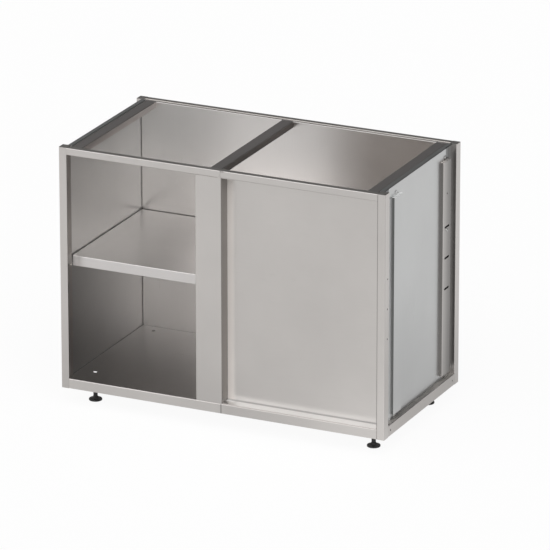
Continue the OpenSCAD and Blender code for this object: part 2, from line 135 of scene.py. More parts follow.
class CabinetSizes(bpy.types.PropertyGroup):
    """Sizes of the fine pieces."""

    tray_bend: length("Tray Bend", "Inner radius of the blank panel's folds", 0.0002, 0.006, 0.0004)
    sheet: length("Panel Sheet", "Sheet thickness of the panels", 0.0008, 0.0015, 0.0012)
    thread_pitch: length("Thread Pitch", "Pitch of the stems' thread", 0.001, 0.002, 0.0015)
    thread_depth: length("Thread Depth", "Depth of the stems' thread", 0.0003, 0.001, 0.0006)
    stem_radius: length("Stem Radius", "Outer radius of the stems' thread", 0.004, 0.006, 0.005)
    socket_radius: length("Socket Radius", "Radius across the corners of a screw's hexagon socket",
                          0.001, 0.003, 0.0023)
    lathe_steps: IntProperty(
        name="Lathe Steps", description="Faces round a turned piece", min=16, max=128, default=56)


class CabinetStage(bpy.types.PropertyGroup):
    """Camera, floor and lights."""

    lens: FloatProperty(
        name="Lens", description="Focal length of the camera",
        unit="CAMERA", min=50, max=1000, default=390.31)
    camera_at: FloatVectorProperty(
        name="Camera Place", description="Place of the camera",
        subtype="TRANSLATION", unit="LENGTH", size=3, default=(8.11399, -17.18875, 7.19398))
    camera_yaw: FloatProperty(
        name="Camera Yaw", description="Turn of the view about the vertical, from +Y",
        subtype="ANGLE", default=0.4384)
    camera_pitch: FloatProperty(
        name="Camera Pitch", description="How far the view looks down",
        subtype="ANGLE", default=0.3405)
    camera_roll: FloatProperty(
        name="Camera Roll", description="Roll of the camera", subtype="ANGLE", default=-0.0007)
    floor_radius: length("Floor Radius", "Radius of the round floor", 5, 60, 26)
    rim_height: length("Rim Height", "Height of the backdrop round the floor", 0, 10, 4)
    floor_white: share("Floor White", "Share of the floor that shows plain white to the camera", 0.93)
    floor_glow: FloatProperty(
        name="Floor Glow", description="Brightness of the floor in the steel's reflections",
        min=0, max=2, default=0.82)
    # painted shade: the floor's glow in reflections is lower round the cabinet
    painted_near_shade: share("Painted Near Shade", "Share of the floor glow that is left beside the cabinet", 0.76)
    # painted light: a brighter pool in the floor's glow in front on the right
    painted_pool_glow: FloatProperty(
        name="Painted Pool Glow", description="Extra brightness of the pool of light in front on the right",
        min=0, max=2, default=0.35)
    box_spread: FloatProperty(
        name="Soft Box Spread", description="Half the angle that each soft box fills",
        subtype="ANGLE", min=0.1, max=1.5, default=math.radians(38))
    left_box: box_strength("Left Box", "low soft box on the left", 1.13)
    front_left_box: box_strength("Front Left Box", "low soft box in front on the left", 1.70)
    front_box: box_strength("Front Box", "soft box in front", 0.98)
    front_right_box: box_strength("Front Right Box", "soft box in front on the right", 2.21)
    rear_box: box_strength("Rear Box", "weak soft box behind on the left", 0.25)
    overhead_box: box_strength("Overhead Box", "high soft box in front", 1.19)
    right_box: box_strength("Right Box", "high soft box on the right", 0.73)


# soft boxes of the studio: property, heading round from the front to the right, height
SOFT_BOXES = (("left_box", 288, 15), ("front_left_box", 324, 15), ("front_box", 0, 40),
              ("front_right_box", 45, 40), ("rear_box", 225, 40), ("overhead_box", 0, 65),
              ("right_box", 72, 65))


def finish():
    """The property group of the finishes."""
    return bpy.context.scene.cabinet_finish


def sizes():
    """The property group of the fine sizes."""
    return bpy.context.scene.cabinet_sizes


def stage():
    """The property group of the studio."""
    return bpy.context.scene.cabinet_stage


def span(node):
    """Lowest and highest corner of a CAD node, as vectors."""
    low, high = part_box(node)
    return Vector(low), Vector(high)


def middle(low, high):
    """Middle of a box."""
    return tuple((a + b) / 2 for a, b in zip(low, high))


def zone(x=OPEN, y=OPEN, z=OPEN):
    """A box in which a material's tone differs: its ends along each axis, None for no end."""
    return tuple(zip(x, y, z))


def mirrored(x, y=OPEN, z=OPEN):
    """A zone on the right side and its mirror on the left side."""
    return [zone(x, y, z), zone((-x[1], -x[0]), y, z)]


def evenly(zones, inside, rim=THIN_RIM):
    """The same tone for some zones, and 1 outside them."""
    return [(place, inside, 1.0, rim) for place in zones]


def adder(tree):
    """A function that adds a node to a tree with its settings, and sets or links its inputs."""
    def add(kind, inputs=None, **settings):
        node = tree.nodes.new(kind)
        for key, value in settings.items():
            setattr(node, key, value)
        for key, value in (inputs or {}).items():
            if isinstance(value, bpy.types.NodeSocket):
                tree.links.new(value, node.inputs[key])
            else:
                node.inputs[key].default_value = value
        return node

    return add


def combine(add, operation, sockets):
    """The sockets' values, joined one after the other by a math operation."""
    last = sockets[0]
    for socket in sockets[1:]:
        last = add("ShaderNodeMath", {0: last, 1: socket}, operation=operation).outputs[0]
    return last


def new_material(name):
    """A node material, its Principled shader, a function that adds nodes, and its links."""
    material = bpy.data.materials.new(name)
    material.use_nodes = True
    tree = material.node_tree
    return material, tree.nodes["Principled BSDF"], adder(tree), tree.links


def box_tone():
    """The node group that gives one value inside a box, another outside, and blends over a rim."""
    if "box_tone" in bpy.data.node_groups:
        return bpy.data.node_groups["box_tone"]
    tree = bpy.data.node_groups.new("box_tone", "ShaderNodeTree")
    for label in ("Place", "Centre", "Half"):
        tree.interface.new_socket(label, in_out="INPUT", socket_type="NodeSocketVector")
    for label in ("Rim", "Inside", "Outside"):
        tree.interface.new_socket(label, in_out="INPUT", socket_type="NodeSocketFloat")
    tree.interface.new_socket("Tone", in_out="OUTPUT", socket_type="NodeSocketFloat")
    add = adder(tree)
    given = add("NodeGroupInput").outputs
    last = given["Place"]
    for operation, other in (("SUBTRACT", "Centre"), ("ABSOLUTE", None), ("SUBTRACT", "Half")):
        values = {0: last, 1: given[other]} if other else {0: last}
        last = add("ShaderNodeVectorMath", values, operation=operation).outputs["Vector"]
    axes = add("ShaderNodeSeparateXYZ", {"Vector": last}).outputs
    past = combine(add, "MAXIMUM", [axes["X"], axes["Y"], axes["Z"]])
    blend = add("ShaderNodeMapRange", {
        "Value": past, "From Max": given["Rim"], "To Min": given["Inside"],
        "To Max": given["Outside"]}, interpolation_type="SMOOTHSTEP")
    add("NodeGroupOutput", {"Tone": blend.outputs["Result"]})
    return tree


def toned(add, place, where, inside, outside, rim=THIN_RIM):
    """Value of a box_tone group in a zone."""
    low = [-FAR if v is None else v for v in where[0]]
    high = [FAR if v is None else v for v in where[1]]
    return add("ShaderNodeGroup", {
        "Place": place, "Centre": middle(low, high), "Half": [(b - a) / 2 for a, b in zip(low, high)],
        "Rim": rim, "Inside": inside, "Outside": outside}, node_tree=box_tone()).outputs["Tone"]


def noise(add, place, scale, detail, roughness=0.5):
    """Value of a noise texture."""
    return add("ShaderNodeTexNoise", {"Vector": place, "Scale": scale, "Detail": detail,
                                      "Roughness": roughness}).outputs["Fac"]


def ranged(add, value, start, end, low=0.0, high=1.0):
    """A value's range from start to end, spread from low to high."""
    return add("ShaderNodeMapRange", {"Value": value, "From Min": start, "From Max": end,
                                      "To Min": low, "To Max": high}).outputs[0]


def along(add, place, across, grain, lengthways):
    """A place scaled by one factor across the grain and another along it."""
    scale = [across] * 3
    scale[grain] = lengthways
    return add("ShaderNodeMapping", {"Vector": place, "Scale": scale}).outputs["Vector"]


def brushed_steel(name, colour, grain, roughness=None, painted_tones=(), dull=(), grey=()):
    """Brushed sheet steel: fine lines along grain (0, 1 or 2 for X, Y, Z), cloudy stains and smears.

    Painted tones are (zone, inside, outside, rim) that paint shade (below 1) or light (above 1) into
    the colour. Dull are the same for what comes on the roughness, grey for the share of the hue that
    stays.
    """
    material, shader, add, links = new_material(name)
    look = finish()
    rough = look.steel_roughness if roughness is None else roughness
    line_stretch, mottle = 160, 0.025
    place = add("ShaderNodeTexCoord").outputs["Object"]
    brush = noise(add, along(add, place, look.brush_lines, grain, look.brush_lines / line_stretch),
                  1.0, 3.0)
    clouds = noise(add, place, 3.1, 4.0, 0.55)
    smears = noise(add, along(add, place, 9.0, grain, 2.5), 1.0, 3.0)
    dark = [c * (1 - 1.6 * mottle) for c in colour] + [1]
    light = [min(1, c * (1 + mottle)) for c in colour] + [1]
    tint = add("ShaderNodeMix", {"Factor": ranged(add, clouds, 0.32, 0.68), "A": dark, "B": light},
               data_type="RGBA").outputs["Result"]
    if grey:
        hue = combine(add, "MULTIPLY", [toned(add, place, *part) for part in grey])
        tint = add("ShaderNodeHueSaturation", {"Saturation": hue, "Color": tint}).outputs["Color"]
    # the brushed grain's own tone, then the painted shade and painted light of the zones
    tones = [ranged(add, brush, 0.3, 0.7, 0.985, 1.015)]
    tones += [toned(add, place, *shade) for shade in painted_tones]
    scaled = add("ShaderNodeVectorMath", {0: tint, "Scale": combine(add, "MULTIPLY", tones)},
                 operation="SCALE")
    links.new(scaled.outputs["Vector"], shader.inputs["Base Color"])
    rough_parts = [ranged(add, smears, 0.3, 0.7, rough - 0.012, rough + 0.018),
                   ranged(add, brush, 0.3, 0.7, -0.015, 0.015)]
    rough_parts += [toned(add, place, *part) for part in dull]
    links.new(combine(add, "ADD", rough_parts), shader.inputs["Roughness"])
    bump = add("ShaderNodeBump", {"Strength": look.brush_depth, "Distance": 0.2 * MM, "Height": brush})
    links.new(bump.outputs["Normal"], shader.inputs["Normal"])
    shader.inputs["Metallic"].default_value = 1.0
    return material


def moulded_plastic(name, colour):
    """Black moulded plastic: a fine grain, a soft sheen and slight dust."""
    material, shader, add, links = new_material(name)
    dusty = 1.7
    place = add("ShaderNodeTexCoord").outputs["Object"]
    grain = noise(add, place, 900.0, 2.0)
    dust = noise(add, place, 60.0, 4.0)
    tint = add("ShaderNodeMix", {"Factor": ranged(add, dust, 0.35, 0.75), "A": [*colour, 1],
                                 "B": [c * dusty for c in colour] + [1]}, data_type="RGBA")
    links.new(tint.outputs["Result"], shader.inputs["Base Color"])
    links.new(ranged(add, dust, 0.0, 1.0, 0.38, 0.56), shader.inputs["Roughness"])
    bump = add("ShaderNodeBump", {"Strength": 0.25, "Distance": 0.1 * MM, "Height": grain})
    links.new(bump.outputs["Normal"], shader.inputs["Normal"])
    return material


def bright_zinc(name, colour):
    """Zinc plated steel of the fasteners: spangled tone and a soft gloss."""
    material, shader, add, links = new_material(name)
    spangle = 0.82
    place = add("ShaderNodeTexCoord").outputs["Object"]
    cells = add("ShaderNodeTexVoronoi", {"Vector": place, "Scale": 420.0}).outputs["Distance"]
    haze = noise(add, place, 35.0, 4.0)
    tint = add("ShaderNodeMix", {"Factor": cells, "A": [*colour, 1],
                                 "B": [c * spangle for c in colour] + [1]}, data_type="RGBA")
    links.new(tint.outputs["Result"], shader.inputs["Base Color"])
    links.new(ranged(add, haze, 0.0, 1.0, 0.18, 0.36), shader.inputs["Roughness"])
    shader.inputs["Metallic"].default_value = 1.0
    return material


def dress(material, *nodes):
    """Gives carried-over CAD nodes a material."""
    for name in nodes:
        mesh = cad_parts[name].data
        mesh.materials.clear()
        mesh.materials.append(material)


def add_piece(name, mesh, material, body, replaced):
    """Makes a finished piece from a mesh and its material, parents it to its body, and hides the CAD
    node it replaces.
    """
    mesh.materials.clear()
    mesh.materials.append(material)
    piece = bpy.data.objects.new(name, mesh)
    bpy.context.scene.collection.objects.link(piece)
    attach(piece, body)
    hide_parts(replaced)


def mesh_from(bm, name, angle=math.radians(35)):
    """A smooth mesh from a bmesh, with doubles merged and faces outwards."""
    bmesh.ops.remove_doubles(bm, verts=bm.verts, dist=MERGE)
    bmesh.ops.recalc_face_normals(bm, faces=bm.faces)
    mesh = bpy.data.meshes.new(name)
    bm.to_mesh(mesh)
    bm.free()
    mesh.shade_smooth()
    mesh.set_sharp_from_angle(angle=angle)
    return mesh


def full_turn(steps):
    """Angles of the steps round a full turn."""
    return [2 * math.pi * step / steps for step in range(steps)]


def round_point(centre, radius, turn, height):
    """Point at a radius and a turn about the vertical axis through centre."""
    return centre[0] + radius * math.cos(turn), centre[1] + radius * math.sin(turn), height


def hexagon_reach(turn, corner, cut):
    """Distance from a hexagon's axis to its side at a turn, with the corners cut back."""
    sixth = math.pi / 6
    past_corner = abs((turn + sixth) % (2 * sixth) - sixth)
    return min(corner * math.cos(sixth) / math.cos(sixth - past_corner), corner - cut)


def bridge(bm, loops):
    """Faces between neighbouring closed loops of vertices."""
    for near, far in zip(loops, loops[1:]):
        for step in range(len(near)):
            after = (step + 1) % len(near)
            bm.faces.new((near[step], near[after], far[after], far[step]))


def lathe(bm, profile, centre, steps):
    """Turns a profile of (radius, height) about a vertical axis. Radius 0 ends on the axis."""
    rings = []
    for radius, height in profile:
        turns = full_turn(steps) if radius > MERGE else [0.0]
        rings.append([bm.verts.new(round_point(centre, radius, turn, centre[2] + height))
                      for turn in turns])
    for low, high in zip(rings, rings[1:]):
        for step in range(steps):
            after = (step + 1) % steps
            corners = []
            for ring, index in ((low, step), (low, after), (high, after), (high, step)):
                vert = ring[index % len(ring)]
                if vert not in corners:
                    corners.append(vert)
            if len(corners) > 2:
                bm.faces.new(corners)


def arc(centre, radius, start, end, steps):
    """Points of an arc in a profile's plane, angles in degrees."""
    points = []
    for step in range(steps + 1):
        turn = math.radians(start + (end - start) * step / steps)
        points.append((centre[0] + radius * math.cos(turn), centre[1] + radius * math.sin(turn)))
    return points


class OBJECT_OT_cabinet_sheets(bpy.types.Operator):
    """Give the folded posts, rails and panels their brushed finish, with painted light and shade"""

    bl_idname = "object.cabinet_sheets"
    bl_label = "Posts, Rails and Panels"
    # reach of the ledges beside the side panels, of the frame's outer lips and of the painted shade
    # along the sheets' edges where they meet other sheets, and the soft rim of that painted dark line
    SIDE_LEDGE = 5 * MM
    OUTER_LIP = 1.6 * MM
    PAINTED_GAP_WIDTH = 2.2 * MM
    PAINTED_GAP_RIM = 0.8 * MM

    def execute(self, context):
        look = finish()
        for group in (self.posts, self.hanger_rails, self.front_rails, self.other_rails,
                      self.side_panels, self.inner_sheets, self.shelf):
            group(look)
        return {"FINISHED"}

    def posts(self, look):
        """Posts and stile, with painted shade in the posts' hollows, on their returns above the shelf
        and on the rear posts' reveals.
        """
        low, high = span("front_post_right")
        fold_depth, painted_return_shade, above_lip = 4 * MM, 0.5, 0.505
        # painted shade on the inner face of the outer flanges and the walls of their holes, and on the
        # returns above the shelf's lip
        inner = mirrored((high.x - fold_depth, high.x - SKIN), (low.y + WITHIN, None))
        returns = mirrored((low.x - 1 * MM, low.x + 0.5 * MM), (low.y + 2 * MM, None), (above_lip, None))
        painted_tones = evenly(inner, look.painted_hollow_shade) + evenly(returns, painted_return_shade)
        dress(brushed_steel("steel_front_post", look.frame_colour, 2, painted_tones=painted_tones),
              "front_post_left", "front_post_right")
        low, high = span("rear_post_right")
        recess = span("side_panel_right")[1].x
        # painted shade on the rear posts' front-facing walls in the side recesses
        reveals = mirrored((recess - self.SIDE_LEDGE, high.x - self.OUTER_LIP), (None, low.y + SKIN))
        painted_reveal_shade = look.painted_recess_shade * 2.1
        dress(brushed_steel("steel_rear_post", look.frame_colour, 2,
                            painted_tones=evenly(reveals, painted_reveal_shade)), "rear_post_left", "rear_post_right")
        dress(brushed_steel("steel_stile", look.frame_colour, 2), "centre_stile")

    def hanger_rails(self, look):
        """Hanger rails, with painted shade on the front walls, painted light on the cap and the bend
        under it, and painted shade on the rear ones.
        """
        painted_cap_light, cap_dull, painted_face_shade, painted_rear_shade, rear_rim = 1.45, 0.6, 0.74, 0.52, 56 * MM
        for place, steel_colour in (("front", look.side_panel_colour), ("rear", look.frame_colour)):
            low, high = span("hanger_rail_%s_right" % place)
            wall = zone(y=(None, low.y + 0.6 * MM))
            cap = zone(z=(high.z - 16 * MM, high.z - 13.6 * MM))
            # painted shade on the front wall, painted light on the cap and the bend under it
            painted_tones = [(wall, look.painted_recess_shade, 1.0), (cap, painted_cap_light, 1.0)]
            if place == "rear":
                # rear rails: painted shade growing towards the back, and over the whole face
                painted_tones += [(zone(y=(high.y - 6 * MM, None)), painted_rear_shade, 1.0, rear_rim),
                           (zone(y=(low.y + 5 * MM, None)), painted_face_shade, 1.0, 2 * MM)]
            steel = brushed_steel("steel_hanger_" + place, steel_colour, 2, painted_tones=painted_tones,
                                  dull=[(cap, cap_dull, 0.0)])
            dress(steel, "hanger_rail_%s_left" % place, "hanger_rail_%s_right" % place)

    def front_rails(self, look):
        """Front rails: painted shade in the top ones' hollow and in the lower joint, and painted light
        on the lower left half.
        """
        low, high = span("top_rail_front_right")
        # painted shade in the hollow of the top rails
        hollow = zone(y=(low.y + WITHIN, None), z=(low.z + WITHIN, high.z - WITHIN))
        dress(brushed_steel("steel_top_rail", look.frame_colour, 0,
                            painted_tones=[(hollow, look.painted_hollow_shade, 1.0)]),
              "top_rail_front_left", "top_rail_front_right")
        # painted shade in the joint between the two bottom rails, and painted light growing towards
        # their left end
        joint = zone(x=(-1.2 * MM, 1.2 * MM))
        left, painted_left_light, left_rim = zone(x=(None, -30 * MM)), 1.13, 60 * MM
        dress(brushed_steel("steel_bottom_rail", look.frame_colour, 0,
                            painted_tones=[(joint, look.painted_gap_shade, 1.0, 0.4 * MM),
                                    (left, painted_left_light, 1.0, left_rim)]),
              "bottom_rail_front_left", "bottom_rail_front_right")

    def other_rails(self, look):
        """Rear and side rails, runners, cross members and the brackets of the feet, with painted shade
        on the rear rail's lip and painted light on the side ledges.
        """
        low, high = span("top_rail_rear")
        # painted shade on the front lip of the rear top rail
        lip, painted_lip_shade = zone(y=(None, low.y + SKIN), z=(high.z - self.OUTER_LIP, None)), 0.75
        dress(brushed_steel("steel_rear_rail", look.frame_colour, 0, painted_tones=[(lip, painted_lip_shade, 1.0)]),
              "top_rail_rear", "bottom_rail_rear")
        recess = span("side_panel_right")[1].x
        low, high = span("rear_post_right")
        ledge_z = span("side_bottom_rail_right")[1].z - 3 * MM
        painted_ledge_light, more_rough = 1.4, 0.15
        # painted light on the ledges of the side bottom rails in the side recesses
        ledges = mirrored((recess - self.SIDE_LEDGE, high.x - self.OUTER_LIP),
                          (None, low.y - 60 * MM), (ledge_z, None))
        dress(brushed_steel("steel_side_rail", look.frame_colour, 1,
                            roughness=look.steel_roughness + more_rough,
                            painted_tones=evenly(ledges, painted_ledge_light)),
              "side_bottom_rail_left", "side_bottom_rail_right", "floor_bearer")
        # painted shade: near black runners stand for the shade in the gap beside the shelf
        dress(brushed_steel("steel_runner", look.runner_painted_shade_colour, 1),
              "shelf_runner_left", "shelf_runner_right")
        dress(brushed_steel("steel_member", look.member_colour, 1),
              "cross_member_left", "cross_member_middle", "cross_member_right")
        dress(bright_zinc("zinc_bracket", look.fastener_colour),
              *["foot_bracket_" + end for end in FOOT_ENDS])

    def side_panels(self, look):
        """Side panels, with painted shade and painted light on the outer faces only, round the hanger
        rails and behind the front posts.
        """
        outside = (span("side_panel_right")[1].x - 0.5 * MM, FAR)
        post_y = span("front_post_right")[1].y
        rail_y, rail_end = span("hanger_rail_front_right")[0].y, span("hanger_rail_rear_right")[1]
        cap_z = rail_end.z - 13 * MM
        painted_post_shade, painted_strip_light, strip_dull, painted_over_rail_shade, painted_behind_rail_shade = 0.3, 1.2, 0.3, 0.4, 0.5
        # painted shade behind the front posts, seen through the posts' holes
        painted_tones = evenly(mirrored(outside, (None, post_y + 32 * MM)), painted_post_shade)
        # painted light on the strips between the front posts and the front hanger rails
        strips = mirrored(outside, (post_y + 33 * MM, rail_y), (None, cap_z))
        painted_tones += evenly(strips, painted_strip_light)
        # painted shade over the rear rails' tops and behind the rear rails
        painted_tones += evenly(mirrored(outside, (rail_end.y - 20 * MM, rail_end.y), (cap_z, None)),
                         painted_over_rail_shade, 6 * MM)
        painted_tones += evenly(mirrored(outside, (rail_end.y, None)), painted_behind_rail_shade)
        dress(brushed_steel("steel_side_panel", look.side_panel_colour, 2, painted_tones=painted_tones,
                            dull=[(strip, strip_dull, 0.0) for strip in strips]),
              "side_panel_left", "side_panel_right")

    def inner_sheets(self, look):
        """Back panel and floor, with painted shade along the edges where they meet their neighbours, and
        painted light and shade at the back panel's top fold.
        """
        low, high = span("back_panel")
        back, inset = low.y, self.PAINTED_GAP_WIDTH
        # painted shade along the side edges, painted light on the top strip and painted shade on the
        # bend below it
        face = zone(x=(low.x + inset, high.x - inset))
        top, painted_top_light = zone(z=(high.z - 0.6 * MM, None)), 1.2
        bend, painted_bend_shade = zone(z=(high.z - 3.5 * MM, high.z - 0.8 * MM)), 0.85
        dress(brushed_steel("steel_back_panel", look.back_panel_colour, 2,
                            painted_tones=[(face, 1.0, look.painted_gap_shade, self.PAINTED_GAP_RIM), (top, painted_top_light, 1.0),
                                    (bend, painted_bend_shade, 1.0)]), "back_panel")
        low, high = span("floor_panel")
        # painted shade along the floor's sides and back edge
        face = zone(x=(low.x + inset, high.x - inset), y=(None, back - 1.8 * MM))
        dress(brushed_steel("steel_floor", look.floor_colour, 0,
                            painted_tones=[(face, 1.0, look.painted_gap_shade, self.PAINTED_GAP_RIM)]), "floor_panel")

    def shelf(self, look):
        """Shelf, with painted shade along the back panel, and painted light and more roughness at the
        lip's left end.
        """
        low, high = span("shelf")
        # painted shade along the back edge where the shelf meets the back panel, and painted light at
        # the lip's left end
        face = zone(y=(None, high.y - 2.6 * MM))
        end, end_rim = zone(x=(None, low.x + 14 * MM), y=(None, low.y + 2 * MM)), 14 * MM
        painted_end_light, end_dull = 1.25, 0.4
        dress(brushed_steel("steel_shelf", look.shelf_colour, 0,
                            painted_tones=[(face, 1.0, look.painted_gap_shade, self.PAINTED_GAP_RIM),
                                    (end, painted_end_light, 1.0, end_rim)],
                            dull=[(end, end_dull, 0.0, end_rim)]), "shelf")


class OBJECT_OT_cabinet_blank_panel(bpy.types.Operator):
    """Build the blank panel as a tray with round folds and mitred corners"""

    bl_idname = "object.cabinet_blank_panel"
    bl_label = "Blank Panel"

    def execute(self, context):
        low, high = span("blank_panel")
        sheet, bend, fold_steps = sizes().sheet, sizes().tray_bend, 8
        front, back, outer_bend = low.y, high.y, bend + sheet
        inner = [(sheet, front)]
        inner += arc((sheet + bend, back - sheet - bend), bend, 180, 90, fold_steps)
        outer = [(0.0, front)]
        outer += arc((outer_bend, back - outer_bend), outer_bend, 180, 90, fold_steps)
        bm = bmesh.new()
        rings = []
        for inset, y in inner[::-1] + outer:
            rings.append([bm.verts.new((x, y, z)) for x, z in (
                (low.x + inset, low.z + inset), (high.x - inset, low.z + inset),
                (high.x - inset, high.z - inset), (low.x + inset, high.z - inset))])
        bridge(bm, rings)
        bm.faces.new(rings[0])
        bm.faces.new(rings[-1])
        add_piece("blank_panel_tray", mesh_from(bm, "blank_panel_tray"), self.steel(low, high, sheet),
                  "carcass", "blank_panel")
        return {"FINISHED"}

    def steel(self, low, high, sheet):
        """Steel of the tray: painted shade on the side walls and the back of the ledge, painted light on
        a strip beside the left wall, and no hue on the ledge.
        """
        look = finish()
        edge, deep = low.y + 0.4 * MM, low.y + 38 * MM
        wall, ledge_top = sheet + 0.3 * MM, low.z + sheet + 0.4 * MM
        strip_rim, painted_strip_light, strip_dull, painted_sill_shade = 20 * MM, 1.37, 0.4, 0.72
        # painted shade on the side walls that stand back in the opening
        walls = [zone((None, low.x + wall), (edge, low.y + 43.5 * MM)),
                 zone((high.x - wall, None), (edge, None))]
        # painted light on the flat beside the left wall, where it reflects the dark wall
        strip = zone(x=(None, low.x + sheet + 18 * MM), y=(deep, None))
        # painted shade on the back of the ledge; the ledge keeps no hue so that the highlight it
        # reflects shows white
        sill = zone(y=(deep, None), z=(None, ledge_top))
        ledge = zone(y=(edge, None), z=(None, ledge_top))
        painted_tones = evenly(walls, look.painted_recess_shade, 2 * MM)
        painted_tones += [(strip, painted_strip_light, 1.0, strip_rim), (sill, painted_sill_shade, 1.0, 5 * MM)]
        return brushed_steel("steel_blank_panel", look.front_panel_colour, 0, painted_tones=painted_tones,
                             dull=[(strip, strip_dull, 0.0, strip_rim)], grey=[(ledge, 0.0, 1.0)])


class OBJECT_OT_cabinet_feet(bpy.types.Operator):
    """Turn the bases, sleeves and threaded stems of the levelling feet"""

    bl_idname = "object.cabinet_feet"
    bl_label = "Levelling Feet"
    # the base's slope from its rim to its neck, as radius and height in millimetres
    SLOPE = ((16, 7.0), (13, 8.4), (11, 10.2), (9.4, 12.6), (8.4, 14.2))

    def execute(self, context):
        plastic = moulded_plastic("foot_plastic", finish().foot_colour)
        zinc = bright_zinc("stem_zinc", finish().fastener_colour)
        for end in FOOT_ENDS:
            self.base(end, plastic)
            self.sleeve(end, plastic)
            self.stem(end, zinc)
        return {"FINISHED"}

    def base(self, end, material):
        """Round base with a soft rim, a waisted neck and a socket."""
        low, high = span("foot_base_" + end)
        rim, top = (high.x - low.x) / 2, high.z - low.z
        bore, neck, socket_floor = sizes().stem_radius + 0.06 * MM, 7.5 * MM, 6 * MM
        sole_round, rim_round, neck_round = 1.6 * MM, 2 * MM, 0.5 * MM
        profile = [(0, 0), (rim - sole_round, 0)]
        profile += arc((rim - sole_round, sole_round), sole_round, -90, 0, 5)
        profile += arc((rim - rim_round, socket_floor - rim_round), rim_round, 0, 90, 6)
        profile += [(rim - 4 * MM, 6.2 * MM)] + [(r * MM, z * MM) for r, z in self.SLOPE]
        profile += arc((neck - neck_round, top - neck_round), neck_round, 20, 90, 3)
        profile += [(bore, top), (bore, socket_floor), (0, socket_floor)]
        bm = bmesh.new()
        lathe(bm, profile, (*middle(low, high)[:2], low.z), sizes().lathe_steps)
        add_piece("foot_disc_" + end, mesh_from(bm, "foot_disc_" + end), material,
                  "foot_base_" + end, "foot_base_" + end)

    def sleeve(self, end, material):
        """Sleeve with a chamfered hexagon at its upper end."""
        low, high = span("foot_sleeve_" + end)
        centre, tall, bore, tube = middle(low, high), high.z - low.z, sizes().stem_radius, 7.5 * MM
        hexagon, corner, bevel = tall - 8 * MM, (high.x - low.x) / 2, 0.4 * MM
        cut, cut_tall, turns = 0.55 * MM, 0.5 * MM, full_turn(48)
        rings = [([radius] * len(turns), height) for radius, height in (
            (bore, 0), (tube - bevel, 0), (tube, bevel), (tube, hexagon))]
        rings += [([hexagon_reach(turn, corner, back) for turn in turns], height)
                  for height, back in ((hexagon, cut), (hexagon + cut_tall, 0),
                                       (tall - cut_tall, 0), (tall, cut))]
        rings.append(([bore] * len(turns), tall))
        bm = bmesh.new()
        loops = [[bm.verts.new(round_point(centre, radius, turn, low.z + height))
                  for radius, turn in zip(radii, turns)] for radii, height in rings]
        bridge(bm, loops + loops[:1])
        add_piece("foot_tube_" + end, mesh_from(bm, "foot_tube_" + end), material,
                  "foot_stem_" + end, "foot_sleeve_" + end)

    def stem(self, end, material):
        """Threaded stem, one unbroken helix from end to end."""
        low, high = span("foot_stem_" + end)
        centre, tall = middle(low, high), high.z - low.z
        pitch, depth, outer = sizes().thread_pitch, sizes().thread_depth, sizes().stem_radius
        around, per_turn = 24, 6
        rows = round(tall / pitch * per_turn)
        bm = bmesh.new()
        loops = []
        for row in range(rows + 1):
            height = tall * row / rows
            fade = min(1, row / per_turn, (rows - row) / per_turn)
            loop = []
            for step, turn in enumerate(full_turn(around)):
                wave = (height / pitch - step / around) % 1
                groove = depth * fade * (1 - abs(2 * wave - 1))
                radius = outer - groove - (1 - fade) * depth
                loop.append(bm.verts.new(round_point(centre, radius, turn, low.z + height)))
            loops.append(loop)
        bridge(bm, loops)
        bm.faces.new(loops[0])
        bm.faces.new(loops[-1])
        mesh = mesh_from(bm, "foot_thread_" + end, math.radians(50))
        add_piece("foot_thread_" + end, mesh, material, "foot_stem_" + end,
                  "foot_stem_" + end)


# a fastener's head as a stack of cones, each with its seat, height, lower and upper radius
# as shares of the head's size
BUTTON_HEAD = ((0.0, 0.4, 1.0, 1.0), (0.4, 0.35, 1.0, 0.86), (0.75, 0.25, 0.86, 0.62))
RIVET_HEAD = ((0.0, 0.4, 1.0, 0.94), (0.4, 0.35, 0.94, 0.72), (0.75, 0.25, 0.72, 0.4))


